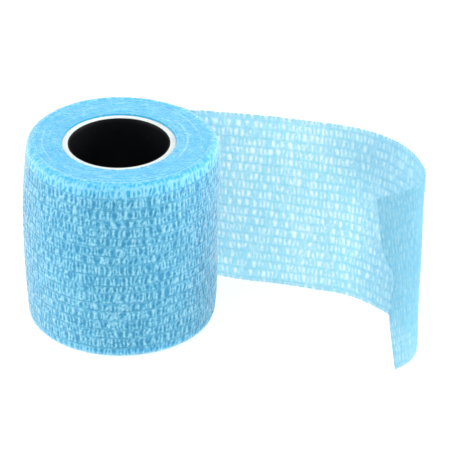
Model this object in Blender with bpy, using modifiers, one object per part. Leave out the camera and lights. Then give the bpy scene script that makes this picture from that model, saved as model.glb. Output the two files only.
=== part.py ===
"""Cohesive bandage roll, 5 cm wide, standing on its end with its loose end peeled off and curled round.

Metres, +Z up. The origin is on the surface the roll stands on, at the centre of the footprint of roll
and loose end together. Plan positions below are given from the roll's own axis and moved there last.
"""
import math

import bmesh
import bpy
import numpy as np

MM = 0.001

# the strip, and the roll wound from it
STRIP_WIDTH = 50 * MM
ROLL_END_RADIUS = 23.4 * MM
ROLL_BARREL = 1.1 * MM          # the side swells by this much at half height
ROLL_TOP_ROUND = 2.0 * MM
ROLL_BASE_ROUND = 2.5 * MM
ROLL_AXIS = (-25.6 * MM, 2.8 * MM)
# where the outer turns stand out of round
# angle, its spread (degrees), height, its spread, how far out
ROLL_BULGES = [
    (0.0, 50.0, 47 * MM, 14 * MM, 1.3 * MM),
    (115.0, 35.0, 50 * MM, 6 * MM, 0.5 * MM),
    (0.0, 40.0, 5 * MM, 10 * MM, 0.3 * MM),
]

# the tube the strip is wound on, and the ply that lines it
CORE_OUTER_RADIUS = 14.3 * MM
CORE_WALL = 1.2 * MM
LINER_WALL = 0.5 * MM
CORE_LENGTH = 49.0 * MM
CORE_OFFSET = (-0.1 * MM, -0.6 * MM)    # from the axis of the roll's side, which is wound a little unevenly
GAP = 0.3 * MM                  # between any two pieces

# the loose end, a sheet
TAIL_THICKNESS = 1.0 * MM
TAIL_CLEARANCE = 0.05 * MM      # on top of the gap, where the sheet still lies on the roll
TAIL_EDGE_INSET = 0.1 * MM      # its edges stay this far inside the roll's two ends
TAIL_ARC_START = 64.0           # degrees round the roll where the modelled sheet starts
PEEL_ANGLE_BASE = 61.0          # where it leaves the roll: sooner at the base than at the top
PEEL_ANGLE_TOP = 56.0
CUT_DENT_DEPTH = 2.6 * MM       # the cut edge is not straight: it is set back round this height
CUT_DENT_HEIGHT = 26.0 * MM
CUT_DENT_SPREAD = 6.0 * MM

# the run of the loose end in plan, in millimetres from the roll's axis: its upper and lower edges
TAIL_STATIONS = [
    # name             upper x  upper y  lower x  lower y
    ("off the roll",      20.0,    16.3,    20.8,    18.6),
    ("straight run",      27.0,    13.6,    27.5,    16.5),
    ("straight run",      38.6,    11.5,    37.5,    13.9),
    ("straight run",      50.6,     8.2,    49.2,    10.5),
    ("bend begins",       58.6,     5.5,    57.4,     7.9),
    ("bend",              64.5,     1.9,    63.4,     3.5),
    ("bend",              70.0,    -3.7,    68.6,    -2.8),
    ("bend",              73.8,   -11.0,    72.3,    -9.5),
    ("furthest right",    74.9,   -17.5,    74.0,   -15.5),
    ("flap begins",       73.0,   -22.9,    73.5,   -20.7),
    ("flap",              68.0,   -27.0,    71.5,   -25.0),
    ("cut edge",          63.0,   -29.7,    68.4,   -28.2),
]

ROUND_STEPS = 80
BARREL_STEPS = 9
TAIL_LENGTH_STEPS = 52
TAIL_HEIGHT_STEPS = 10


def clear_scene():
    for obj in list(bpy.data.objects):
        bpy.data.objects.remove(obj, do_unlink=True)


def plain_material(name, colour, roughness):
    material = bpy.data.materials.new(name)
    material.use_nodes = True
    shader = material.node_tree.nodes["Principled BSDF"]
    shader.inputs["Base Color"].default_value = (*colour, 1.0)
    shader.inputs["Roughness"].default_value = roughness
    shader.inputs["Metallic"].default_value = 0.0
    return material


def add_piece(name, mesh, material, collection):
    """A named object on the roll's axis, with its own material, in the roll's collection."""
    piece = bpy.data.objects.new(name, mesh)
    piece.location = (*ROLL_AXIS, 0.0)
    mesh.materials.append(material)
    collection.objects.link(piece)
    return piece


def barrel_radius(height):
    """Radius of the roll's side: a shallow parabola, widest at half height."""
    from_middle = 2 * height / STRIP_WIDTH - 1
    return ROLL_END_RADIUS + ROLL_BARREL * (1 - from_middle ** 2)


def bulge(angle, height):
    """How far the roll's side stands out of round at an angle (degrees) and height."""
    total = 0.0
    for middle, spread, level, level_spread, out in ROLL_BULGES:
        off = (angle - middle + 180) % 360 - 180
        total += out * math.exp(-(off / spread) ** 2 - ((height - level) / level_spread) ** 2)
    return total


def corner(centre_x, centre_z, radius, first, last, steps):
    """Points of a rounded corner in the profile plane, between two angles in degrees."""
    angles = [math.radians(first + (last - first) * i / steps) for i in range(steps + 1)]
    return [(centre_x + radius * math.cos(a), centre_z + radius * math.sin(a)) for a in angles]


def turned_piece(name, profile, material, collection):
    """A closed profile of (radius, height) points, running down its outer side, spun about Z."""
    bm = bmesh.new()
    verts = [bm.verts.new((radius, 0.0, height)) for radius, height in profile]
    edges = [bm.edges.new((verts[i - 1], verts[i])) for i in range(len(verts))]
    bmesh.ops.spin(bm, geom=verts + edges, cent=(0, 0, 0), axis=(0, 0, 1), angle=2 * math.pi,
                   steps=ROUND_STEPS, use_merge=True)
    bmesh.ops.remove_doubles(bm, verts=bm.verts, dist=0.00001)
    bmesh.ops.recalc_face_normals(bm, faces=bm.faces)
    mesh = bpy.data.meshes.new(name)
    bm.to_mesh(mesh)
    bm.free()
    mesh.shade_smooth()
    return add_piece(name, mesh, material, collection)


def wound_bandage(collection):
    """The wound strip as one ring: swollen side, soft rims, flat ends and the hole for the tube."""
    top_x = barrel_radius(STRIP_WIDTH - ROLL_TOP_ROUND) - ROLL_TOP_ROUND
    base_x = barrel_radius(ROLL_BASE_ROUND) - ROLL_BASE_ROUND
    low = ROLL_BASE_ROUND
    high = STRIP_WIDTH - ROLL_TOP_ROUND
    hole = CORE_OUTER_RADIUS + GAP
    profile = [(hole, 0.0), (hole, STRIP_WIDTH)]
    profile += corner(top_x, high, ROLL_TOP_ROUND, 90, 0, 3)
    for i in range(1, BARREL_STEPS):
        height = high + (low - high) * i / BARREL_STEPS
        profile.append((barrel_radius(height), height))
    profile += corner(base_x, low, ROLL_BASE_ROUND, 0, -90, 4)
    material = plain_material("crepe_blue", (0.13, 0.50, 0.78), 0.9)
    piece = turned_piece("wound_bandage", profile, material, collection)
    for vert in piece.data.vertices:
        x, y, height = vert.co
        radius = math.hypot(x, y)
        share = (radius - hole) / (ROLL_END_RADIUS - hole)
        share = min(max(share, 0.0), 1.0)
        growth = 1 + share * bulge(math.degrees(math.atan2(y, x)), height) / radius
        vert.co = (x * growth + (1 - share) * CORE_OFFSET[0], y * growth + (1 - share) * CORE_OFFSET[1], height)
    return piece


def tube(name, outer_radius, wall, material, collection):
    """A plain tube as long as the core, centred in the height of the roll."""
    low = (STRIP_WIDTH - CORE_LENGTH) / 2
    high = low + CORE_LENGTH
    inner_radius = outer_radius - wall
    profile = [(inner_radius, low), (inner_radius, high), (outer_radius, high), (outer_radius, low)]
    piece = turned_piece(name, profile, material, collection)
    piece.location = (ROLL_AXIS[0] + CORE_OFFSET[0], ROLL_AXIS[1] + CORE_OFFSET[1], 0.0)
    return piece


def plan_route(up):
    """Control points of the sheet's middle line in plan, at a height given as a part (0 to 1) of the width.

    First the arc that still lies on the roll, then the stations of the table, each on the straight
    line from its lower to its upper edge.
    """
    height = up * STRIP_WIDTH
    peel = PEEL_ANGLE_BASE + (PEEL_ANGLE_TOP - PEEL_ANGLE_BASE) * up
    angles = np.linspace(TAIL_ARC_START, peel, 4)
    radius = np.array([barrel_radius(height) + bulge(angle, height) for angle in angles])
    radius = radius + GAP + TAIL_CLEARANCE + TAIL_THICKNESS / 2
    angles = np.radians(angles)
    arc = np.stack([radius * np.cos(angles), radius * np.sin(angles)], axis=1)
    upper = np.array([station[1:3] for station in TAIL_STATIONS]) * MM
    lower = np.array([station[3:5] for station in TAIL_STATIONS]) * MM
    return np.concatenate([arc, lower + (upper - lower) * up])


def smooth_through(points, steps_each=12):
    """A smooth curve through points: cubic pieces whose end slopes come from each point's neighbours."""
    reach = np.linalg.norm(np.diff(points, axis=0), axis=1)
    along = np.concatenate([[0.0], np.cumsum(reach)])
    slopes = np.gradient(points, along, axis=0)
    t = np.linspace(0, 1, steps_each, endpoint=False)[:, None]
    pieces = []
    for i, length in enumerate(reach):
        start, end = points[i], points[i + 1]
        start_slope, end_slope = slopes[i] * length, slopes[i + 1] * length
        pieces.append((2 * t**3 - 3 * t**2 + 1) * start + (t**3 - 2 * t**2 + t) * start_slope
                      + (3 * t**2 - 2 * t**3) * end + (t**3 - t**2) * end_slope)
    return np.concatenate(pieces + [points[-1:]])


def evenly_spaced(curve, count, short_by):
    """Points at equal distances along a curve that is cut off short of its end."""
    reach = np.concatenate([[0.0], np.cumsum(np.linalg.norm(np.diff(curve, axis=0), axis=1))])
    stops = np.linspace(0, reach[-1] - short_by, count)
    return np.stack([np.interp(stops, reach, curve[:, 0]), np.interp(stops, reach, curve[:, 1])], axis=1)


def tail_row(up):
    """One level row of the sheet's middle surface, from the roll to the cut edge."""
    height = TAIL_EDGE_INSET + up * (STRIP_WIDTH - 2 * TAIL_EDGE_INSET)
    dent = CUT_DENT_DEPTH * math.exp(-((height - CUT_DENT_HEIGHT) / CUT_DENT_SPREAD) ** 2)
    plan = evenly_spaced(smooth_through(plan_route(up)), TAIL_LENGTH_STEPS + 1, dent)
    return np.column_stack([plan, np.full(len(plan), height)])


def loose_tail(collection):
    """The free end of the strip: a grid laid on its plan route at each height, then given its thickness."""
    bm = bmesh.new()
    bmesh.ops.create_grid(bm, x_segments=TAIL_LENGTH_STEPS, y_segments=TAIL_HEIGHT_STEPS, size=1.0)
    rows = [tail_row(j / TAIL_HEIGHT_STEPS) for j in range(TAIL_HEIGHT_STEPS + 1)]
    for vert in bm.verts:
        i = round((vert.co.x + 1) / 2 * TAIL_LENGTH_STEPS)
        j = round((vert.co.y + 1) / 2 * TAIL_HEIGHT_STEPS)
        vert.co = rows[j][i]
    mesh = bpy.data.meshes.new("loose_tail")
    bm.to_mesh(mesh)
    bm.free()
    mesh.shade_smooth()
    material = plain_material("crepe_blue_single", (0.20, 0.58, 0.83), 0.9)
    piece = add_piece("loose_tail", mesh, material, collection)
    shell = piece.modifiers.new("thickness", "SOLIDIFY")
    shell.thickness = TAIL_THICKNESS
    shell.offset = 0.0
    return piece


def build():
    clear_scene()
    collection = bpy.data.collections.new("cohesive_bandage_roll")
    bpy.context.scene.collection.children.link(collection)
    wound_bandage(collection)
    board = plain_material("core_board", (0.80, 0.78, 0.74), 0.85)
    tube("core_tube", CORE_OUTER_RADIUS, CORE_WALL, board, collection)
    ply = plain_material("core_black", (0.012, 0.013, 0.020), 0.6)
    tube("core_liner", CORE_OUTER_RADIUS - CORE_WALL - GAP, LINER_WALL, ply, collection)
    loose_tail(collection)


build()
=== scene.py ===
import math

import bpy
import numpy as np
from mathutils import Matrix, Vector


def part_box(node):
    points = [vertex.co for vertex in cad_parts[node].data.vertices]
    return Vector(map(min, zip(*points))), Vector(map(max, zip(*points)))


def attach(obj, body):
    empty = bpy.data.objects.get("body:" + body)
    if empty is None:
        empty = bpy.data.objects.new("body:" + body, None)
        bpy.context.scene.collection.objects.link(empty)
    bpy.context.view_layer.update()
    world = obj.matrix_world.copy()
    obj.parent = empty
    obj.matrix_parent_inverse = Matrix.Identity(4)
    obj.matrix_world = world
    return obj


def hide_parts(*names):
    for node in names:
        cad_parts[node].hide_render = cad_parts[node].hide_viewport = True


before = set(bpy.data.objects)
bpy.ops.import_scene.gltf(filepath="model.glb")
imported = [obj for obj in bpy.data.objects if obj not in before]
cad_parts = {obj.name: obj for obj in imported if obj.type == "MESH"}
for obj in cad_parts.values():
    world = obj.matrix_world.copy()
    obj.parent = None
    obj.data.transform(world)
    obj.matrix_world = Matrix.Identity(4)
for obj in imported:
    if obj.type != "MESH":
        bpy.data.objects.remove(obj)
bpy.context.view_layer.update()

# A roll of cohesive crepe bandage standing on its end, its loose end peeled off and curled round.
# Shapes are worked out in millimetres from the foot of the axis of the roll's side, and go into the
# file in metres. The core sits a little off that axis.

millimetre = 0.001
coreOffset = np.array((-0.1, -0.6, 0))           # of the core from the roll's axis, mm
rollLow, rollHigh = (np.array(corner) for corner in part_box("wound_bandage"))
coreLow, coreHigh = (np.array(corner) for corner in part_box("core_tube"))
linerLow, linerHigh = (np.array(corner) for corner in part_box("core_liner"))
axisPoint = (coreLow + coreHigh) / 2 * (1, 1, 0) - coreOffset * millimetre
stripWidth = (rollHigh[2] - rollLow[2]) / millimetre
widestRadius = (axisPoint[0] - rollLow[0]) / millimetre
coreRadius = (coreHigh[0] - coreLow[0]) / 2 / millimetre
linerRadius = (linerHigh[0] - linerLow[0]) / 2 / millimetre


# Soft noise between -1 and 1: random values on a lattice, blended with 3t^2 - 2t^3 both ways.
# With a wrap the first direction closes on itself after that many lattice steps.
def softNoise(x, y, seed, wrap=None):
    table = np.random.default_rng(seed).uniform(-1, 1, (512, 256))
    x, y = np.broadcast_arrays(x, y)
    column, row = np.floor(x).astype(int), np.floor(y).astype(int)
    fx, fy = x - column, y - row
    fx, fy = fx * fx * (3 - 2 * fx), fy * fy * (3 - 2 * fy)
    following = column + 1
    if wrap:
        column, following = column % wrap, following % wrap
    here, over = column % 512, following % 512
    low, high = row % 256, (row + 1) % 256
    near = table[here, low] * (1 - fx) + table[over, low] * fx
    far = table[here, high] * (1 - fx) + table[over, high] * fx
    return near * (1 - fy) + far * fy


# Eases from 0 at start to 1 at end with 3t^2 - 2t^3.
def ease(value, start, end):
    t = np.clip((value - start) / (end - start), 0, 1)
    return t * t * (3 - 2 * t)


# Bell curve of a value over a half width.
def bell(value, half):
    return np.exp(-(value / half) ** 2)


# Quads of a grid of rows by columns; a closed direction joins its last line to its first.
def gridFaces(rows, columns, closeRows=False, closeColumns=False):
    r = np.arange(rows if closeRows else rows - 1)[:, None]
    c = np.arange(columns if closeColumns else columns - 1)[None, :]
    nextRow, nextColumn = (r + 1) % rows, (c + 1) % columns
    corners = [row * columns + column for row, column in
               ((r, c), (r, nextColumn), (nextRow, nextColumn), (nextRow, c))]
    return np.stack(np.broadcast_arrays(*corners), axis=-1).reshape(-1, 4)


# A mesh object from points round the roll's axis, with its named numbers kept on its points.
def addPiece(name, points, faces, material, numbers=None):
    mesh = bpy.data.meshes.new(name)
    mesh.from_pydata(points.reshape(-1, 3) * millimetre + axisPoint, [], faces)
    for label, values in (numbers or {}).items():
        layer = mesh.attributes.new(label, "FLOAT", "POINT")
        layer.data.foreach_set("value", np.ascontiguousarray(values, dtype=np.float32).ravel())
    mesh.shade_smooth()
    mesh.materials.append(material)
    piece = bpy.data.objects.new(name, mesh)
    bpy.context.scene.collection.objects.link(piece)
    return piece


# Points at equal distances along a line of (x, y) rows, and the line's length.
def evenly(line, count):
    reach = np.concatenate([[0], np.cumsum(np.linalg.norm(np.diff(line, axis=0), axis=1))])
    stops = np.linspace(0, reach[-1], count)
    return np.stack([np.interp(stops, reach, line[:, i]) for i in range(2)], axis=1), reach[-1]


# Height of each place on the strip counted in threads: 0 on the lowest, threads - 1 on the highest.
# The count is bent by a slow and a quick waver and by an uneven gap of its own below each thread.
def threadCount(crepe, along, up, width, length, closed):
    slowSteps, quickSteps = int(round(length / 14)), int(round(length / 4.5))
    slowWrap, quickWrap = (slowSteps, quickSteps) if closed else (None, None)
    slow = softNoise(along / length * slowSteps, up / 9, crepe["seed"] + 1, slowWrap)
    quick = softNoise(along / length * quickSteps, up / 3, crepe["seed"] + 2, quickWrap)
    pitch = width / crepe["threads"]
    level = (up + slow * crepe["waver"] + quick * crepe["waver"] * 0.3) / pitch - 0.5
    count = np.arange(-2, crepe["threads"] + 2)
    shift = np.random.default_rng(crepe["seed"] + 3).normal(0, crepe["uneven"], len(count)) / pitch
    return np.interp(level, count + shift, count)


# Relief of the strip on a grid of places along and up it (mm), 0 in the pits to 1 on the puckers.
# Puckers are bell-shaped ridges across the space between two threads, each with its own lean and
# bow; where several meet, the highest wins. Near a thread the cloth is level, so each pit is a
# short oval between two threads. The second grid says how near a thread each place is, 0 to 1.
def crepeRelief(crepe, along, up, width, length, closed=False):
    rng = np.random.default_rng(crepe["seed"])
    level = threadCount(crepe, along, up, width, length, closed)
    number = int(round(length / crepe["puckerPitch"]))
    spacing = length / number
    even = (np.arange(number) + 0.5) * spacing
    ridge = np.zeros(level.shape)
    for band in range(-2, crepe["threads"] + 1):
        foot = even + (rng.uniform(-0.5, 0.5) + rng.normal(0, crepe["stray"], number)) * spacing
        head = foot + rng.normal(0, crepe["lean"], number)
        rise = rng.uniform(crepe["lowest"], 1.0, number) * (rng.random(number) > crepe["missing"])
        bow = rng.normal(0, crepe["bow"], number)
        half = crepe["puckerHalf"] * rng.uniform(*crepe["spread"], number)
        forked = rng.random(number) < crepe["fork"]
        follower = np.roll(head, -1) + np.where(np.arange(number) == number - 1, length, 0)
        starts = np.concatenate([foot, foot[forked]])
        ends = np.concatenate([head, follower[forked]])
        rises = np.concatenate([rise, rise[forked] * 0.9])
        bows = np.concatenate([bow, -bow[forked]])
        halves = np.concatenate([half, half[forked] * 0.85])
        inside = (level >= band) & (level < band + 1)
        rows = np.flatnonzero(inside.any(axis=1))
        if len(rows):
            part = slice(rows[0], rows[-1] + 1)
            t = np.clip(level[part] - band, 0, 1)[..., None]
            here = np.broadcast_to(along, level.shape)[part][..., None]
            best = np.zeros(t.shape[:2])
            for first in range(0, len(starts), 24):
                some = slice(first, first + 24)
                middle = starts[some] + (ends[some] - starts[some]) * t + bows[some] * np.sin(np.pi * t)
                off = here - middle
                if closed:
                    off = (off + length / 2) % length - length / 2
                spread = halves[some] * (1 + 0.7 * np.abs(2 * t - 1) ** 3)
                best = np.maximum(best, (rises[some] * bell(off, spread)).max(axis=-1))
            ridge[part] = np.where(inside[part], best, ridge[part])
    wormSteps, patchSteps = int(round(length / 0.50)), int(round(length / 7))
    wormWrap, patchWrap = (wormSteps, patchSteps) if closed else (None, None)
    worm = softNoise(along / length * wormSteps, up / 0.60, crepe["seed"] + 4, wormWrap)
    patch = softNoise(along / length * patchSteps, up / 6, crepe["seed"] + 5, patchWrap)
    fromThread = (level - np.round(level)) * width / crepe["threads"]
    drawn = crepe["closing"] * bell(fromThread, crepe["closingHalf"] * (1 + 0.2 * patch))
    relief = ridge + crepe["worm"] * worm + 0.04 * patch
    relief = relief + (crepe["bandLevel"] + crepe["worm"] * worm - relief) * drawn
    return np.clip(relief, 0, 1), bell(fromThread, crepe["threadHalf"])


# Heights up the strip of each thread at places along it, found by closing in on the thread's count.
def threadHeights(crepe, along, width, length, closed=False):
    count = np.arange(crepe["threads"])[:, None]
    pitch = width / crepe["threads"]
    height = (count + 0.5) * pitch + 0 * along
    for _ in range(12):
        height = height + 0.7 * (count - threadCount(crepe, along, height, width, length, closed)) * pitch
    return height


# Materials

# One shader with its roughness and sheen, the tree it is in and the material that holds them.
def newMaterial(name, roughness, sheen=0.0, sheenTint=(1, 1, 1)):
    material = bpy.data.materials.new(name)
    material.use_nodes = True
    tree = material.node_tree
    shader = tree.nodes["Principled BSDF"]
    shader.inputs["Roughness"].default_value = roughness
    shader.inputs["Sheen Weight"].default_value = sheen
    shader.inputs["Sheen Roughness"].default_value = 0.45
    shader.inputs["Sheen Tint"].default_value = (*sheenTint, 1)
    return material, tree, shader


# A node of a kind, with its settings.
def addNode(tree, kind, **settings):
    node = tree.nodes.new(kind)
    for key, value in settings.items():
        setattr(node, key, value)
    return node


# Noise at a place; the scale is in lumps per metre.
def noiseNode(tree, place, scale, detail=3.0, roughness=0.55):
    node = addNode(tree, "ShaderNodeTexNoise")
    node.inputs["Scale"].default_value = scale
    node.inputs["Detail"].default_value = detail
    node.inputs["Roughness"].default_value = roughness
    tree.links.new(place, node.inputs["Vector"])
    return node.outputs["Fac"]


# One operation on sockets, plain numbers or both.
def mathNode(tree, operation, *values):
    node = addNode(tree, "ShaderNodeMath", operation=operation)
    for socket, value in zip(node.inputs, values):
        if isinstance(value, (int, float)):
            socket.default_value = value
        else:
            tree.links.new(value, socket)
    return node.outputs[0]


# Base plus a noise's swing about its middle.
def swing(tree, noise, amount, base):
    return mathNode(tree, "MULTIPLY_ADD", mathNode(tree, "SUBTRACT", noise, 0.5), amount, base)


# Colours laid out along a number, given as (position, colour) stops.
def rampNode(tree, factor, stops):
    node = addNode(tree, "ShaderNodeValToRGB")
    ramp = node.color_ramp
    while len(ramp.elements) < len(stops):
        ramp.elements.new(0.5)
    for element, (position, colour) in zip(ramp.elements, stops):
        element.position = position
        element.color = (*colour, 1)
    tree.links.new(factor, node.inputs["Fac"])
    return node.outputs["Color"]


# Blend of two colours: (1 - factor) of the first plus factor of the second.
def mixColours(tree, factor, first, second):
    node = addNode(tree, "ShaderNodeMix", data_type="RGBA")
    colours = [socket for socket in node.inputs if socket.type == "RGBA"]
    tree.links.new(factor, node.inputs[0])
    for socket, value in zip(colours, (first, second)):
        if isinstance(value, tuple):
            socket.default_value = (*value, 1)
        else:
            tree.links.new(value, socket)
    return [socket for socket in node.outputs if socket.type == "RGBA"][0]


# A number kept on a mesh's points.
def pointNumber(tree, name):
    return addNode(tree, "ShaderNodeAttribute", attribute_name=name).outputs["Fac"]


# Place on the piece in its own coordinates, in metres.
def objectPlace(tree):
    return addNode(tree, "ShaderNodeTexCoord").outputs["Object"]


# Fine fibres: two noises, each drawn out along its own direction, whose creases stand for the hairs.
def fibreHeight(tree, place):
    heights = []
    for turn, stretch in (((0.3, 0.5, 0.9), (5200, 900, 5200)), ((1.9, 1.1, 0.2), (900, 5600, 4200))):
        mapping = addNode(tree, "ShaderNodeMapping")
        mapping.inputs["Rotation"].default_value = turn
        mapping.inputs["Scale"].default_value = stretch
        tree.links.new(place, mapping.inputs["Vector"])
        noise = noiseNode(tree, mapping.outputs["Vector"], 1.0, 2.0)
        crease = mathNode(tree, "ABSOLUTE", mathNode(tree, "SUBTRACT", noise, 0.5))
        heights.append(mathNode(tree, "SUBTRACT", 0.5, mathNode(tree, "MULTIPLY", crease, 2.4)))
    return mathNode(tree, "MAXIMUM", *heights)


# Bump from a height; its distance is in metres.
def addBump(tree, shader, height, distance, strength=1.0):
    bump = addNode(tree, "ShaderNodeBump")
    bump.inputs["Strength"].default_value = strength
    bump.inputs["Distance"].default_value = distance
    tree.links.new(height, bump.inputs["Height"])
    tree.links.new(bump.outputs["Normal"], shader.inputs["Normal"])


colours = {
    # the roll's side, pits to puckers: the deep blue of the pits is painted shade, the pale puckers painted
    # light
    "pitShade": (0.030, 0.300, 0.540),
    "slope": (0.090, 0.460, 0.705),
    "pucker": (0.330, 0.730, 0.900),
    # the ends, deep to bright: their colour follows the height of the edges as painted shade and light; the
    # side's rims take these colours as painted light
    "edgeDeep": (0.015, 0.400, 0.750),
    "edge": (0.040, 0.480, 0.820),
    "edgeBright": (0.270, 0.720, 0.955),
    "paleEdge": (0.600, 0.860, 0.960),
    "sheerPit": (0.720, 0.950, 0.990),
    "sheerPucker": (0.440, 0.845, 0.955),
    "densePit": (0.450, 0.750, 0.845),
    "densePucker": (0.285, 0.625, 0.775),
    "rollThread": (0.110, 0.470, 0.690),
    "tailThread": (0.410, 0.810, 0.915),
    "boardFibre": (0.66, 0.72, 0.70),
    "board": (0.77, 0.83, 0.81),
    "boardPale": (0.85, 0.89, 0.87),
    "plyDeep": (0.0025, 0.0028, 0.0040),
    "ply": (0.0050, 0.0055, 0.0080),
}


# Crepe wound on the roll: fibres in relief, with the pits painted a deeper blue as painted shade and the
# puckers paler as painted light. Where it is seen edge on, at the roll's ends, it is brighter and closer,
# with pale lines where the white threads show; there too the colour is painted darker in the low places
# and paler on the high ones, and the rounded rims of the side take these brighter colours as painted light.
def crepeMaterial():
    material, tree, shader = newMaterial("crepe", 0.92, 1.0, (1.0, 1.0, 1.0))
    place = objectPlace(tree)
    lift = pointNumber(tree, "lift")
    speck = noiseNode(tree, place, 1300, 3)
    blotch = noiseNode(tree, place, 300, 2)
    cloud = noiseNode(tree, place, 60, 2)
    side = swing(tree, cloud, 0.18, swing(tree, blotch, 0.12, swing(tree, speck, 1.80, lift)))
    sideStops = ((0.02, colours["pitShade"]), (0.45, colours["slope"]), (1.0, colours["pucker"]))
    end = swing(tree, cloud, 0.25, swing(tree, blotch, 0.45, swing(tree, speck, 1.10, lift)))
    endStops = ((0.05, colours["edgeDeep"]), (0.50, colours["edge"]), (1.0, colours["edgeBright"]))
    side, end = rampNode(tree, side, sideStops), rampNode(tree, end, endStops)
    colour = mixColours(tree, pointNumber(tree, "endColourAndRimLight"), side, end)
    pale = mathNode(tree, "MULTIPLY", pointNumber(tree, "pale"), 0.6)
    colour = mixColours(tree, pale, colour, colours["paleEdge"])
    tree.links.new(colour, shader.inputs["Base Color"])
    addBump(tree, shader, fibreHeight(tree, place), 0.00008, 0.6)
    return material


# The same crepe in one ply: light comes through it from behind, and its pits are partly open. Its cover
# rises with the relief; where it is dense the pits close up too.
def sheerMaterial():
    material, tree, shader = newMaterial("crepe_sheer", 0.92, 0.20, (0.88, 0.97, 1.0))
    place = objectPlace(tree)
    lift = pointNumber(tree, "lift")
    cloud = noiseNode(tree, place, 70, 2)
    blotch = noiseNode(tree, place, 320, 2)
    speck = noiseNode(tree, place, 1100, 3)
    dense = pointNumber(tree, "dense")
    mottled = swing(tree, blotch, 0.35, swing(tree, cloud, 0.45, swing(tree, speck, 0.70, lift)))
    toClosed = mathNode(tree, "MULTIPLY", mathNode(tree, "SUBTRACT", 0.85, mottled), 0.45)
    closeness = mathNode(tree, "MULTIPLY_ADD", toClosed, dense, mottled)
    colour = rampNode(tree, closeness, ((0.10, colours["sheerPit"]), (0.70, colours["sheerPucker"])))
    closed = rampNode(tree, mottled, ((0.15, colours["densePit"]), (0.75, colours["densePucker"])))
    colour = mixColours(tree, dense, colour, closed)
    tree.links.new(colour, shader.inputs["Base Color"])
    addBump(tree, shader, fibreHeight(tree, place), 0.00008, 0.5)
    through = addNode(tree, "ShaderNodeBsdfTranslucent")
    tree.links.new(colour, through.inputs["Color"])
    cloth = addNode(tree, "ShaderNodeMixShader")
    cloth.inputs[0].default_value = 0.5
    tree.links.new(shader.outputs[0], cloth.inputs[1])
    tree.links.new(through.outputs[0], cloth.inputs[2])
    cover = addNode(tree, "ShaderNodeMapRange")
    for socket, value in (("From Min", 0.02), ("From Max", 0.80), ("To Min", 0.46), ("To Max", 0.74)):
        cover.inputs[socket].default_value = value
    tree.links.new(closeness, cover.inputs["Value"])
    clear = addNode(tree, "ShaderNodeBsdfTransparent")
    surface = addNode(tree, "ShaderNodeMixShader")
    tree.links.new(cover.outputs["Result"], surface.inputs[0])
    tree.links.new(clear.outputs[0], surface.inputs[1])
    tree.links.new(cloth.outputs[0], surface.inputs[2])
    output = [node for node in tree.nodes if node.type == "OUTPUT_MATERIAL"][0]
    tree.links.new(surface.outputs[0], output.inputs["Surface"])
    return material


# Elastic thread: smooth, a little darker than the cloth.
def threadMaterial(name, colour):
    material, tree, shader = newMaterial(name, 0.7, 0.6)
    place = objectPlace(tree)
    shade = noiseNode(tree, place, 900, 2)
    darker = tuple(channel * 0.85 for channel in colour)
    tree.links.new(rampNode(tree, shade, ((0.3, darker), (0.7, colour))), shader.inputs["Base Color"])
    addBump(tree, shader, noiseNode(tree, place, 6000, 2), 0.00003)
    return material


# Paperboard: off-white with short grey fibres and faint edges of its plies.
def boardMaterial():
    material, tree, shader = newMaterial("core_board", 0.85)
    place = objectPlace(tree)
    grain = noiseNode(tree, place, 1800, 4)
    tone = swing(tree, noiseNode(tree, place, 160, 2), 0.5, grain)
    stops = ((0.25, colours["boardFibre"]), (0.55, colours["board"]), (0.80, colours["boardPale"]))
    tree.links.new(rampNode(tree, tone, stops), shader.inputs["Base Color"])
    addBump(tree, shader, grain, 0.00008)
    return material


# The black ply inside the tube: satin, with faint paper grain.
def plyMaterial():
    material, tree, shader = newMaterial("core_ply", 0.5)
    shader.inputs["Specular IOR Level"].default_value = 0.25
    place = objectPlace(tree)
    grain = noiseNode(tree, place, 900, 3)
    stops = ((0.3, colours["plyDeep"]), (0.75, colours["ply"]))
    tree.links.new(rampNode(tree, grain, stops), shader.inputs["Base Color"])
    addBump(tree, shader, grain, 0.00003)
    return material


crepeLook = crepeMaterial()
sheerLook = sheerMaterial()
threadLook = threadMaterial("elastic_on_roll", colours["rollThread"])
sheerThreadLook = threadMaterial("elastic_in_tail", colours["tailThread"])
boardLook = boardMaterial()
plyLook = plyMaterial()
print("materials made")


# The wound roll

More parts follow.
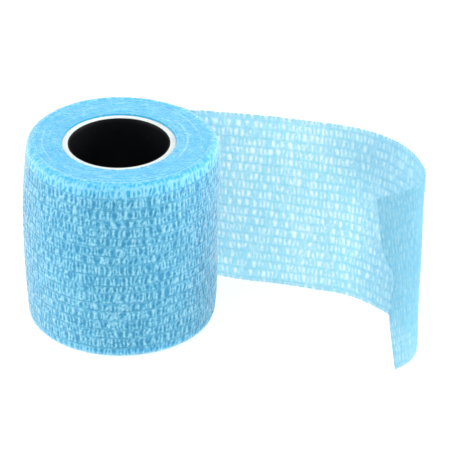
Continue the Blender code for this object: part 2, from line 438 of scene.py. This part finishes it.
roll = {
    "seed": 11,
    "threads": 21,           # rows of elastic from lip to lip, the strip's turned-in edges among them
    "waver": 0.30,           # how far a thread wanders up and down, mm
    "uneven": 0.16,          # how uneven the gaps between threads are, mm
    "puckerPitch": 1.02,     # mm from pucker to pucker
    "puckerHalf": 0.28,      # half width of a pucker, mm
    "spread": (0.70, 1.30),  # range of that width
    "lowest": 0.82,          # height of the lowest puckers against the highest
    "stray": 0.15,           # how far a pucker strays from its even place, in pitches
    "lean": 0.34,            # sideways step of a pucker from thread to thread, mm
    "bow": 0.20,             # sideways bow between threads, mm
    "fork": 0.22,            # share of puckers that fork to their neighbour
    "missing": 0.0,          # share of puckers left out
    "worm": 0.24,            # how far a fine cross grain raises and lowers the cloth
    "closing": 0.95,         # how far the pits close up beside a thread
    "closingHalf": 0.46,     # half width of the level band along a thread, mm
    "bandLevel": 0.60,       # height of that band
    "threadHalf": 0.20,      # half width of the line that a thread draws on the cloth, mm
    # painted shade of the crease a thread pulls in: the cloth along each thread is painted darker by this
    # much
    "threadCreaseShade": 0.32,      # how much deeper that line's colour is
    "threadSize": 0.080,     # radius of a thread, mm
    "relief": 0.34,          # height of the puckers, mm
    "reliefBase": 0.62,      # part of it that goes inwards from the plain section
    "endRadius": widestRadius - 1.1,  # the side bellies out by that much, mm
    "topRound": 2.0,         # radius of the upper rim, mm
    "baseRound": 2.5,        # radius of the lower rim, mm
    "topRim": (45.8, 47.6),  # heights over which the threads fade out at the rims, mm
    "baseRim": (1.0, 2.4),
    # the rims from these lines outwards are painted brighter, in the colours of the ends, as painted light
    # on their rounding
    "topLine": 46.6,         # heights where the brighter rims begin, mm
    "baseLine": 2.6,
    "lineTeeth": 1.5,        # how far that line follows the puckers up and down, mm
    "lip": 1.5,              # how far the outer turn reaches in under the edges at the roll's ends, mm
    "wall": 3.0,             # from the side to the outer turn's plain inner face, mm
    "turn": 0.60,            # thickness of one wound turn, mm
    "growth": 0.35,          # how far the outside grows in one turn, mm
    "lumps": 0.14,           # slow unevenness of the outside, mm
    "peelBase": 62.0,        # degrees round the roll where the loose end leaves it
    "peelTop": 43.0,
    # where the outer turns stand out of round: angle and its spread (degrees), height and its
    # spread, how far out (mm)
    "bulges": [
        (0.0, 50.0, 47.0, 14.0, 1.3),
        (115.0, 35.0, 50.0, 6.0, 0.5),
        (0.0, 40.0, 5.0, 10.0, 0.3),
        (186.0, 22.0, 49.0, 9.0, -0.3),
    ],
    "columns": 620,
    "rows": 153,
}


# Radius of the side: a parabola over the height, widest halfway up.
def barrelRadius(height):
    return roll["endRadius"] + (widestRadius - roll["endRadius"]) * (1 - (2 * height / stripWidth - 1) ** 2)


# How far the side stands out of round: bells over the angle and over the height, added up.
def bulge(angle, height):
    total = 0
    for middle, spread, level, levelSpread, out in roll["bulges"]:
        off = (np.degrees(angle) - middle + 180) % 360 - 180
        total = total + out * bell(off, spread) * bell(height - level, levelSpread)
    return total


# Points on an arc: centre plus radius times the cosine and sine of even steps between two angles.
def arcLine(centreX, centreY, radius, first, last, steps=12):
    angle = np.radians(np.linspace(first, last, steps + 1))
    return np.stack([centreX + radius * np.cos(angle), centreY + radius * np.sin(angle)], axis=1)


# Section of the outer turn: its lower lip, the barrel, its upper lip, as (radius, height) rows.
def sideProfile(rows):
    base, top = roll["baseRound"], roll["topRound"]
    baseX = barrelRadius(base) - base
    topX = barrelRadius(stripWidth - top) - top
    heights = np.linspace(base, stripWidth - top, 60)[1:-1]
    line = np.concatenate([
        [[baseX - roll["lip"], 0.90], [baseX - roll["lip"] / 2, 0.33], [baseX - 0.25, 0.08]],
        arcLine(baseX, base, base, -90, 0)[1:],
        np.stack([barrelRadius(heights), heights], axis=1),
        arcLine(topX, stripWidth - top, top, 0, 90)[:-1],
        [[topX - 0.25, stripWidth - 0.08], [topX - roll["lip"] / 2, stripWidth - 0.33],
         [topX - roll["lip"], stripWidth - 0.90]],
    ])
    return evenly(line, rows)


# Radius gained by the spiral: least just past the peel line, most just before it.
def spiralGain(angle, height):
    peel = np.radians(roll["peelBase"] + (roll["peelTop"] - roll["peelBase"]) * height / stripWidth)
    return roll["growth"] * (((peel - angle) % (2 * np.pi)) / (2 * np.pi) - 0.5)


# The outer turn: the side profile carried round the axis, raised along its own normal by the crepe
# relief, and closed by a plain inner wall. The relief calms down over the rims, and its colour blends
# into the even mottling of the ends; the rims are painted brighter there, as painted light falling on
# their rounding.
def makeOuterTurn():
    columns, rows = roll["columns"], roll["rows"]
    angle = np.linspace(0, 2 * np.pi, columns, endpoint=False)[None, :]
    profile, width = sideProfile(rows)
    tangent = np.gradient(profile, axis=0)
    tangent /= np.linalg.norm(tangent, axis=1, keepdims=True)
    outR, outZ = tangent[:, 1:2], -tangent[:, 0:1]
    radius, height = profile[:, :1], profile[:, 1:]
    length = 2 * np.pi * widestRadius
    up = np.linspace(0, width, rows)[:, None]
    relief, nearThread = crepeRelief(roll, angle * widestRadius, up, width, length, closed=True)
    slow = softNoise(angle / (2 * np.pi) * 9, up / 12, roll["seed"] + 7, 9)
    row = np.arange(rows)[:, None]
    fade = np.minimum(ease(row, 0, 3), 1 - ease(row, rows - 4, rows - 1))
    flat = np.maximum(ease(outZ, 0.35, 0.95), ease(-outZ, 0.5, 1.0))
    rim = np.maximum(ease(height, *roll["topRim"]), 1 - ease(height, *roll["baseRim"]))
    nearThread = nearThread * (1 - rim)
    calm = 1 - 0.75 * ease(outZ, 0.30, 0.90)
    raised = (roll["relief"] * (relief - roll["reliefBase"]) * calm - 0.05 * nearThread) * fade
    gain = (spiralGain(angle, height) + roll["lumps"] * slow) * fade
    r = radius + bulge(angle, height) + raised * outR + gain * (1 - 0.7 * flat)
    z = height + raised * outZ
    inner = np.linspace(stripWidth - 1.2, 1.2, 4)[:, None]
    r = np.concatenate([r, np.broadcast_to(barrelRadius(inner) - roll["wall"], (4, columns))])
    z = np.concatenate([z, np.broadcast_to(inner, (4, columns))])
    points = np.stack([r * np.cos(angle), r * np.sin(angle), z], axis=-1)
    inside = np.zeros((4, columns))
    level = 0.60 + 0.3 * softNoise(angle / (2 * np.pi) * 300, up / 0.4, roll["seed"] + 9, 300)
    # Colour follows the relief: painted shade in the pits and along each thread's crease, painted light on
    # the puckers and the rims.
    lift = relief - roll["threadCreaseShade"] * nearThread + 0.35 * rim
    lift = lift + (level - lift) * ease(outZ, 0.40, 0.95)
    lift = np.concatenate([lift, inside])
    serrated = roll["lineTeeth"] * (relief - 0.5)
    topLine, baseLine = roll["topLine"] - serrated, roll["baseLine"] + serrated
    # Outside these lines the side takes the ends' brighter colours: painted light on the rounded rims.
    endColourAndRimLight = np.maximum(ease(height, topLine - 0.7, topLine + 0.7),
                        0.8 * (1 - ease(height, baseLine - 0.7, baseLine + 0.7)))
    endColourAndRimLight = np.concatenate([endColourAndRimLight, inside])
    faces = gridFaces(rows + 4, columns, True, True)
    numbers = {"lift": lift, "endColourAndRimLight": endColourAndRimLight, "pale": 0 * lift}
    return addPiece("outer_turn", points, faces, crepeLook, numbers)


outerTurn = makeOuterTurn()


ends = {
    "innerRadius": coreRadius + 0.05,
    "topRadius": roll["endRadius"] - roll["topRound"],
    "baseRadius": roll["endRadius"] - roll["baseRound"],
    "columns": 600,
    "topRows": 78,
    "baseRows": 50,
    "groove": 0.06,          # depth between two turns, mm
    "step": 0.10,            # how far one turn's edge stands above the next, mm
    "proud": 0.10,           # how far the highest edges stand past the roll's plain ends, mm
    "thickness": 1.6,        # of the ring that closes an end, mm
    "pucker": 0.9,           # mm between puckers along an edge
    # pale lines on the upper end: radius (mm), from and to (degrees), strength
    "paleLines": [
        (17.1, -38.0, 42.0, 0.85),
        (19.9, 8.0, 52.0, 0.75),
        (22.0, 168.0, 212.0, 0.80),
        (19.3, 160.0, 214.0, 0.75),
        (18.2, 216.0, 262.0, 0.40),
        (20.6, 226.0, 300.0, 0.35),
    ],
}


# Pale lines on an end: for each, a bell across its radius, which shrinks along the spiral and wobbles,
# faded in and out at its two ends; the strongest wins.
def paleLines(angle, radius, seed):
    degrees = np.degrees(angle)
    best = np.zeros(np.broadcast(angle, radius).shape)
    for number, (middle, first, last, strength) in enumerate(ends["paleLines"]):
        along = (degrees - first) % 360
        span = last - first
        centre = middle - roll["turn"] * (along - span / 2) / 360
        centre = centre + 0.16 * softNoise(along / 9, number + 0.5, seed)
        centre = centre + 0.05 * softNoise(along / 2, 40.5, seed)
        fading = ease(along, 0, 9) * (1 - ease(along, span - 9, span)) * (along < span)
        broken = 0.75 + 0.25 * softNoise(along / 3.5, number + 90.5, seed)
        best = np.maximum(best, strength * fading * broken * bell(radius - centre, 0.17))
    return best


# One end of the roll: a flat ring, from the core's circle to the rim, whose height follows the wound
# edges. The turn number grows outwards and with the angle, so the edges form one spiral; each edge
# is a low bead, standing a little above or below the next, and the whole is closed underneath. Its
# colour follows those heights: painted shade makes the grooves and lower edges darker, and painted
# light makes the higher edges paler.
def makeEnd(name, outerRadius, rows, facing, seed):
    columns = ends["columns"]
    angle = np.linspace(0, 2 * np.pi, columns, endpoint=False)[None, :]
    outline = outerRadius + bulge(angle, stripWidth if facing > 0 else 0.0)
    towards = coreOffset[0] * np.cos(angle) + coreOffset[1] * np.sin(angle)
    inline = towards + np.sqrt(ends["innerRadius"] ** 2 - (coreOffset ** 2).sum() + towards ** 2)
    share = np.linspace(0, 1, rows)[:, None]
    radius = inline + (outline - inline) * share
    puckers = int(2 * np.pi * 19 / ends["pucker"])
    turnPart = angle / (2 * np.pi)
    wiggle = softNoise(turnPart * puckers, radius / 0.5, seed, puckers)
    turns = share * (outerRadius - ends["innerRadius"]) / roll["turn"] + turnPart + 0.16 * wiggle
    number = np.floor(turns)
    across = turns - number
    spiral = number - turnPart
    bead = 1 - (2 * across - 1) ** 2
    stepUp = softNoise(spiral * 5.0, 0.5 + 0 * spiral, seed + 1)
    pucker = softNoise(spiral * puckers, number, seed + 2)
    patch = softNoise(turnPart * 60, radius / 1.6, seed + 5, 60)
    fine = softNoise(turnPart * 340, radius / 0.35, seed + 3, 340)
    depth = ends["groove"] * (1 - bead) + ends["step"] * (0.5 - 0.5 * stepUp) - ends["proud"]
    depth = depth + 0.05 * (1 - pucker) + 0.05 * (1 - patch) + 0.04 * (1 - fine)
    lap = ease(radius - outline, -0.5, 0) * 0.25
    level = stripWidth / 2 + facing * (stripWidth / 2 - depth - lap)
    under = stripWidth / 2 + facing * (stripWidth / 2 - ends["thickness"])
    r = np.concatenate([radius, outline, inline])
    z = np.concatenate([level, np.full((2, columns), under)])
    points = np.stack([r * np.cos(angle), r * np.sin(angle), z], axis=-1)
    # Painted shade and light: darker in the grooves and on the lower edges, paler on the higher ones, from
    # the same noises as the heights.
    lift = 0.34 + 0.12 * bead + 0.12 * stepUp + 0.10 * pucker + 0.14 * patch + 0.08 * fine
    arcs = ease(softNoise(spiral * 3.0, 7.5 + 0 * spiral, seed + 4), 0.30, 0.9)
    pale = 0.35 * arcs * bell(across - 0.5, 0.22)
    if facing > 0:
        pale = np.maximum(pale, paleLines(angle, radius, seed + 6))
    extra = np.zeros((2, columns))
    faces = gridFaces(rows + 2, columns, True, True)
    return addPiece(name, points, faces if facing > 0 else faces[:, ::-1], crepeLook,
                    {"lift": np.concatenate([lift, extra]), "pale": np.concatenate([pale, extra]),
                     "endColourAndRimLight": np.ones((rows + 2, columns))})


topEdges = makeEnd("top_edges", ends["topRadius"], ends["topRows"], 1, 31)
baseEdges = makeEnd("base_edges", ends["baseRadius"], ends["baseRows"], -1, 47)


# Elastic threads round the roll: thin tubes, one ring for each row between the two rims, lying in the
# drawn-in cloth.
def makeRollThreads():
    columns, sides, size = 420, 4, roll["threadSize"]
    angle = np.linspace(0, 2 * np.pi, columns, endpoint=False)[None, :]
    length = 2 * np.pi * widestRadius
    profile, width = sideProfile(600)
    heights = threadHeights(roll, angle * widestRadius, width, length, closed=True)[2:-2]
    up = np.linspace(0, width, len(profile))
    slow = softNoise(angle / (2 * np.pi) * 9, heights / 12, roll["seed"] + 7, 9)
    dip = 0.03 * softNoise(angle * 40, heights, roll["seed"] + 8)
    level = np.interp(heights, up, profile[:, 1])
    radius = np.interp(heights, up, profile[:, 0]) + bulge(angle, level) + spiralGain(angle, level)
    radius = radius + roll["lumps"] * slow - 0.02 + dip
    around = np.radians(np.arange(sides) * 360 / sides)[None, :, None]
    r = radius[:, None, :] + size * np.cos(around)
    z = level[:, None, :] + size * np.sin(around)
    points = np.stack([r * np.cos(angle), r * np.sin(angle), z], axis=-1)
    ring = gridFaces(sides, columns, True, True)[:, ::-1]
    faces = np.concatenate([ring + k * sides * columns for k in range(len(heights))])
    return addPiece("roll_threads", points, faces, threadLook)


rollThreads = makeRollThreads()
print("roll made")


# The core

core = {
    "columns": 300,
    "plies": 4,              # ridges across the tube's cut ends
    "edge": 0.12,            # bevel of those ends, mm
    "liner": 0.32,           # thickness of the black ply, mm
}


# A ring from a closed section of (radius, height) rows, carried round the axis with a small wobble.
def makeRing(name, section, material, seed):
    columns = core["columns"]
    angle = np.linspace(0, 2 * np.pi, columns, endpoint=False)[None, :]
    wobble = 0.02 * softNoise(angle / (2 * np.pi) * 60, section[:, 1:] / 3, seed, 60)
    r = section[:, :1] + wobble
    z = section[:, 1:] + 0 * angle + 0.5 * wobble
    points = np.stack([r * np.cos(angle), r * np.sin(angle), z], axis=-1) + coreOffset
    return addPiece(name, points, gridFaces(len(section), columns, True, True), material)


# The paperboard tube: its cut ends show the edges of its plies as shallow ridges.
def makeCoreTube():
    low, high = coreLow[2] / millimetre, coreHigh[2] / millimetre
    outer, inner = coreRadius, linerRadius
    across = np.linspace(outer - core["edge"], inner + core["edge"] * 0.5, 24)
    plies = 0.05 * np.cos((across - inner) / (outer - inner) * 2 * np.pi * core["plies"])
    up = np.linspace(low + core["edge"], high - core["edge"], 12)
    section = np.concatenate([
        np.stack([np.full(12, outer), up], axis=1),
        np.stack([across, high - 0.03 + plies], axis=1),
        np.stack([np.full(12, inner), up[::-1]], axis=1),
        np.stack([across[::-1], low + 0.03 - plies[::-1]], axis=1),
    ])
    return makeRing("core_board_tube", section, boardLook, 61)


# The black ply that lines the tube.
def makeCoreLiner():
    low, high = coreLow[2] / millimetre + 0.05, coreHigh[2] / millimetre - 0.05
    outer, inner = linerRadius + 0.01, linerRadius - core["liner"]
    up = np.linspace(low + 0.08, high - 0.08, 40)
    section = np.concatenate([
        np.stack([np.full(40, outer), up], axis=1),
        [[outer - 0.06, high], [inner + 0.06, high]],
        np.stack([np.full(40, inner), up[::-1]], axis=1),
        [[inner + 0.06, low], [outer - 0.06, low]],
    ])
    return makeRing("core_black_ply", section, plyLook, 67)


coreTube = makeCoreTube()
coreLiner = makeCoreLiner()
print("core made")


# The loose end

# The crepe's values have the same names as the roll's.
tail = {
    "seed": 23,
    "threads": 19,
    "waver": 0.22,
    "uneven": 0.07,
    "puckerPitch": 1.12,
    "puckerHalf": 0.34,
    "spread": (0.75, 1.25),
    "lowest": 0.80,
    "stray": 0.12,
    "lean": 0.22,
    "bow": 0.12,
    "fork": 0.18,
    "missing": 0.0,
    "worm": 0.24,
    "closing": 0.92,
    "closingHalf": 0.56,
    "bandLevel": 0.64,
    "threadHalf": 0.20,
    "threadPale": 0.04,      # how much closer the cloth looks along a thread
    "threadSize": 0.048,
    "relief": 0.20,          # what a pucker adds on each face, mm
    "thickness": 0.10,       # of the cloth in a pit, mm
    "cockle": 0.22,          # slow waves of the whole sheet, mm
    "notch": 0.30,           # how far the edge draws back between puckers, mm
    "notchRun": 1.5,         # how far in from the edge the cloth follows it, mm
    "arcStartBase": 69.0,    # degrees round the roll where the sheet comes out of the outer turn
    "arcStartTop": 52.0,
    "sink": 0.45,            # how deep in the outer turn it starts, mm
    "rise": 0.40,            # how far the tips of the puckers stand past the roll's two ends, mm
    "gatherRun": 40.0,       # length before the cut edge over which the crepe closes up, mm
    "gather": 0.006,         # how much it closes up, per mm
    "denseRun": (64, 18),    # how far before the cut edge it starts to look closer, and is close, mm
    # stretched places where the cloth is thinner: how far along and how high (mm), the reach either
    # way (mm), how much; less than 0 where it is closer
    "thin": [
        (43.0, 18.0, 10.0, 15.0, 0.65),
        (52.0, 42.0, 11.0, 8.0, -0.30),
        (22.0, 6.0, 16.0, 13.0, 1.4),
        (72.0, 44.0, 16.0, 12.0, -0.55),
        (14.0, 26.0, 8.0, 10.0, 0.35),
        (90.0, 6.0, 12.0, 10.0, 0.25),
        (62.0, 12.0, 12.0, 14.0, -0.20),
    ],
    "hem": 0.4,              # how much closer the cloth is along its two long edges
    "cutDent": 2.6,          # the dent in the cut edge: its depth, middle height and spread, mm
    "cutDentHeight": 26.0,
    "cutDentSpread": 6.0,
    "columns": 450,
    "rows": 220,
}

# The run of the loose end in plan, mm from the roll's axis: its upper and lower edges.
tailStations = [
    # name             upper x  upper y  lower x  lower y
    ("off the roll",      20.3,    15.3,    21.0,    18.8),
    ("straight run",      27.0,    13.9,    27.5,    16.5),
    ("straight run",      38.6,    11.8,    37.5,    13.9),
    ("straight run",      50.6,     8.6,    49.2,    10.5),
    ("bend begins",       58.8,     6.0,    57.4,     7.9),
    ("bend",              64.9,     2.5,    63.4,     3.5),
    ("bend",              70.5,    -3.0,    68.6,    -2.8),
    ("bend",              74.3,   -10.5,    72.3,    -9.5),
    ("furthest right",    75.6,   -17.4,    74.5,   -15.5),
    ("flap begins",       73.5,   -22.9,    74.0,   -20.7),
    ("flap",              68.4,   -27.0,    71.9,   -25.0),
    ("cut edge",          63.2,   -29.7,    68.6,   -28.2),
]


# Cubic pieces through control points (rows, points, 2), with slopes from each point's neighbours, at
# given distances along the mean line of the points.
def smoothThrough(points, knots, stops):
    slopes = np.gradient(points, knots, axis=1)
    piece = np.clip(np.searchsorted(knots, stops, side="right") - 1, 0, len(knots) - 2)
    row = np.arange(points.shape[0])[:, None]
    span = knots[piece + 1] - knots[piece]
    t = ((stops - knots[piece]) / span)[..., None]
    span = span[..., None]
    start, end = points[row, piece], points[row, piece + 1]
    startSlope, endSlope = slopes[row, piece] * span, slopes[row, piece + 1] * span
    return ((2 * t**3 - 3 * t**2 + 1) * start + (t**3 - 2 * t**2 + t) * startSlope
            + (3 * t**2 - 2 * t**3) * end + (t**3 - t**2) * endSlope)


# Middle surface of the loose end on a grid of heights by columns: the plan route at each height. Its
# root lies on the outer turn and follows its rounded rims, and its cut edge has a shallow dent.
def tailSurface(heights, columns):
    part = (heights / stripWidth)[:, None]
    peel = roll["peelBase"] + (roll["peelTop"] - roll["peelBase"]) * part
    start = tail["arcStartBase"] + (tail["arcStartTop"] - tail["arcStartBase"]) * part
    turn = np.radians(start + (peel - start) * np.linspace(0, 1, 6)[None, :])
    sunk = tail["sink"] * np.array([1, 0.55, 0.15, 0, 0, 0])
    radius = barrelRadius(heights)[:, None] + bulge(turn, heights[:, None]) + roll["growth"] / 2
    radius = radius + 0.08 - sunk
    arc = np.stack([radius * np.cos(turn), radius * np.sin(turn)], axis=-1)
    upper = np.array([station[1:3] for station in tailStations])
    lower = np.array([station[3:5] for station in tailStations])
    route = np.concatenate([arc, lower + (upper - lower) * part[..., None]], axis=1)
    steps = np.linalg.norm(np.diff(route.mean(axis=0), axis=0), axis=1)
    knots = np.concatenate([[0], np.cumsum(steps)])
    dent = tail["cutDent"] * bell(heights - tail["cutDentHeight"], tail["cutDentSpread"])
    stops = np.linspace(0, 1, columns)[None, :] * (knots[-1] - dent[:, None])
    plan = smoothThrough(route, knots, stops)
    above = np.clip(heights - (stripWidth - roll["topRound"]), 0, None) / roll["topRound"]
    below = np.clip(roll["baseRound"] - heights, 0, None) / roll["baseRound"]
    rimIn = roll["topRound"] * (1 - np.sqrt(1 - np.clip(above, 0, 0.97) ** 2))
    rimIn = rimIn + roll["baseRound"] * (1 - np.sqrt(1 - np.clip(below, 0, 0.90) ** 2))
    free = ease(stops, knots[5] - 1, knots[5] + 8)[..., None]
    outward = plan / np.linalg.norm(plan, axis=-1, keepdims=True)
    plan = plan - (1 - free) * rimIn[:, None, None] * outward
    level = heights[:, None] + 0 * stops
    return np.concatenate([plan, level[..., None]], axis=-1), stops, knots


# Distance along the loose end as the crepe counts it: it runs ahead of the true distance by a square
# that grows over the last stretch, so the puckers lie closer and closer towards the cut edge.
def gathered(stops, length):
    return stops + tail["gather"] * np.clip(stops - (length - tail["gatherRun"]), 0, None) ** 2


# Unit normals of a surface grid, from the cross product of its two directions.
def surfaceNormals(points):
    normal = np.cross(np.gradient(points, axis=1), np.gradient(points, axis=0))
    return normal / np.linalg.norm(normal, axis=-1, keepdims=True)


# Middle surface with its slow waves.
def wavedSurface(heights, columns):
    middle, stops, knots = tailSurface(heights, columns)
    normal = surfaceNormals(middle)
    free = ease(stops, knots[5] - 2, knots[5] + 6)
    cockle = softNoise(stops / 11, heights[:, None] / 13, tail["seed"] + 6) * tail["cockle"] * free
    return middle + normal * cockle[..., None], normal, stops, knots, free


# The two faces of the loose end: the middle surface pushed out either way by half the cloth and by the
# crepe relief. Past the outermost threads the edge draws back between puckers, which scallops it.
def makeTail():
    rows, columns = tail["rows"], tail["columns"]
    heights = np.linspace(0, stripWidth, rows)
    sheet, normal, stops, knots, free = wavedSurface(np.clip(heights, 0.1, stripWidth - 0.1), columns)
    up = heights[:, None]
    length = knots[-1]
    counted, countedLength = gathered(stops, length), gathered(length, length)
    relief, nearThread = crepeRelief(tail, counted, up, stripWidth, countedLength)
    start, end = tail["denseRun"]
    dense = ease(stops, length - start, length - end) + 0 * up
    for along, middle, run, rise, share in tail["thin"]:
        dense = dense - share * bell(stops - along, run) * bell(up - middle, rise)
    dense = np.maximum(dense, tail["hem"] * (bell(up, 0.9) + bell(stripWidth - up, 0.9)))
    for edge, row, inwards in ((0.0, 0, 1), (stripWidth, rows - 1, -1)):
        near = 1 - ease(np.abs(up - edge), 0.0, tail["notchRun"])
        tooth = np.clip(relief[row:row + 1], 0, 1)
        sheet[..., 2] += inwards * near * (tail["notch"] * (1 - tooth) - tail["rise"] * free)
    border = np.minimum(np.arange(rows), np.arange(rows)[::-1])[:, None]
    border = np.minimum(border, (columns - 1 - np.arange(columns))[None, :])
    half = (tail["thickness"] / 2 + tail["relief"] * relief) * ease(border, 0, 2) + 0.01
    pieces = []
    for name, side in (("tail_front_ply", 1), ("tail_back_ply", -1)):
        faces = gridFaces(rows, columns)
        points = sheet + normal * (side * half)[..., None]
        pieces.append(addPiece(name, points, faces if side > 0 else faces[:, ::-1], sheerLook,
                               {"lift": relief + tail["threadPale"] * nearThread, "dense": dense}))
    return pieces, length


(frontPly, backPly), tailLength = makeTail()


# Elastic threads in the loose end: thin tubes that follow its middle surface and shrink to almost
# nothing at both ends.
def makeTailThreads():
    columns, sides, size = 300, 5, tail["threadSize"]
    heights = np.linspace(0.1, stripWidth - 0.1, 160)
    middle, normal, stops, knots, _ = wavedSurface(heights, columns)
    length = knots[-1]
    along = gathered(stops.mean(axis=0)[None, :], length)
    wanted = threadHeights(tail, along, stripWidth, gathered(length, length))
    place = np.clip((wanted - heights[0]) / (heights[1] - heights[0]), 0, len(heights) - 1.001)
    below = np.floor(place).astype(int)
    mix = (place - below)[..., None]
    column = np.arange(columns)[None, :]
    line = middle[below, column] * (1 - mix) + middle[below + 1, column] * mix
    outward = normal[below, column]
    around = np.radians(np.arange(sides) * 360 / sides)[None, :, None, None]
    thin = np.full(columns, size)
    thin[[0, -1]] = 0.002
    ring = np.cos(around) * outward[:, None] + np.sin(around) * np.array([0, 0, 1.0])
    ring = ring * thin[None, None, :, None]
    tube = gridFaces(sides, columns, True, False)
    faces = np.concatenate([tube + k * sides * columns for k in range(tail["threads"])])
    return addPiece("tail_threads", line[:, None] + ring, faces, sheerThreadLook)


tailThreads = makeTailThreads()
print("loose end made, mm long:", round(float(tailLength), 1))


# What each piece rides on and stands for

for piece in (outerTurn, topEdges, baseEdges, rollThreads):
    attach(piece, "root")
    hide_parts("wound_bandage")
for piece in (frontPly, backPly, tailThreads):
    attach(piece, "root")
    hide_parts("loose_tail")
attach(coreTube, "root")
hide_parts("core_tube")
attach(coreLiner, "root")
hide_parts("core_liner")


# Stage, light and camera

studio = {
    "world": 0.60,           # brightness of the even light all round
    "floorColour": 0.35,     # grey of the floor, which also glows so that it stays plain white
    "floorGlow": 0.80,
    "floorReach": 3.0,       # from the middle to each side of the floor, m
    "lights": [
        # name      place (m)              size    watts
        ("above",   (0.05, 0.10, 0.70),    0.60,   2.0),
        ("left",    (-0.80, -0.12, 0.28),  0.60,   3.5),
        ("right",   (0.85, 0.00, 0.28),    0.60,   6.2),
    ],
}


# Turn that points a light or a camera, which looks down its own -Z, along a direction.
def lookAlong(direction):
    x, y, z = direction
    return math.atan2(math.hypot(x, y), -z), 0, math.atan2(y, x) - math.pi / 2


# A pale floor that glows, even white light all round, and three soft lights.
def makeStudio():
    floorMaterial, _, shader = newMaterial("studio_floor", 0.9)
    shader.inputs["Base Color"].default_value = (*[studio["floorColour"]] * 3, 1)
    shader.inputs["Emission Color"].default_value = (1, 1, 1, 1)
    shader.inputs["Emission Strength"].default_value = studio["floorGlow"]
    reach = studio["floorReach"]
    mesh = bpy.data.meshes.new("studio_floor")
    corners = [(-reach, -reach, 0), (reach, -reach, 0), (reach, reach, 0), (-reach, reach, 0)]
    mesh.from_pydata(corners, [], [(0, 1, 2, 3)])
    mesh.materials.append(floorMaterial)
    floor = bpy.data.objects.new("studio_floor", mesh)
    bpy.context.scene.collection.objects.link(floor)
    world = bpy.data.worlds.new("studio")
    world.use_nodes = True
    background = world.node_tree.nodes["Background"]
    background.inputs["Color"].default_value = (1, 1, 1, 1)
    background.inputs["Strength"].default_value = studio["world"]
    bpy.context.scene.world = world
    for name, place, size, watts in studio["lights"]:
        light = bpy.data.lights.new(name, "AREA")
        light.size = size
        light.energy = watts
        lamp = bpy.data.objects.new(name, light)
        lamp.location = place
        lamp.rotation_euler = lookAlong(np.array([0, 0, 0.02]) - np.array(place))
        bpy.context.scene.collection.objects.link(lamp)


view = {
    "place": (0.02634, -0.86316, 0.52993),   # m from the foot of the roll's axis
    "downwards": 30.31,                      # degrees
    "lens": 316.6,                           # mm, on a 36 mm sensor
}


# The camera, with a long lens and everything sharp.
def makeCamera():
    camera = bpy.data.cameras.new("camera")
    camera.sensor_width = 36
    camera.lens = view["lens"]
    camera.clip_start = 0.05
    camera.clip_end = 20
    holder = bpy.data.objects.new("camera", camera)
    holder.location = axisPoint + np.array(view["place"])
    holder.rotation_euler = (math.radians(90 - view["downwards"]), 0, 0)
    bpy.context.scene.collection.objects.link(holder)
    bpy.context.scene.camera = holder


makeStudio()
makeCamera()
bpy.context.scene.view_settings.view_transform = "Standard"
print("studio made")
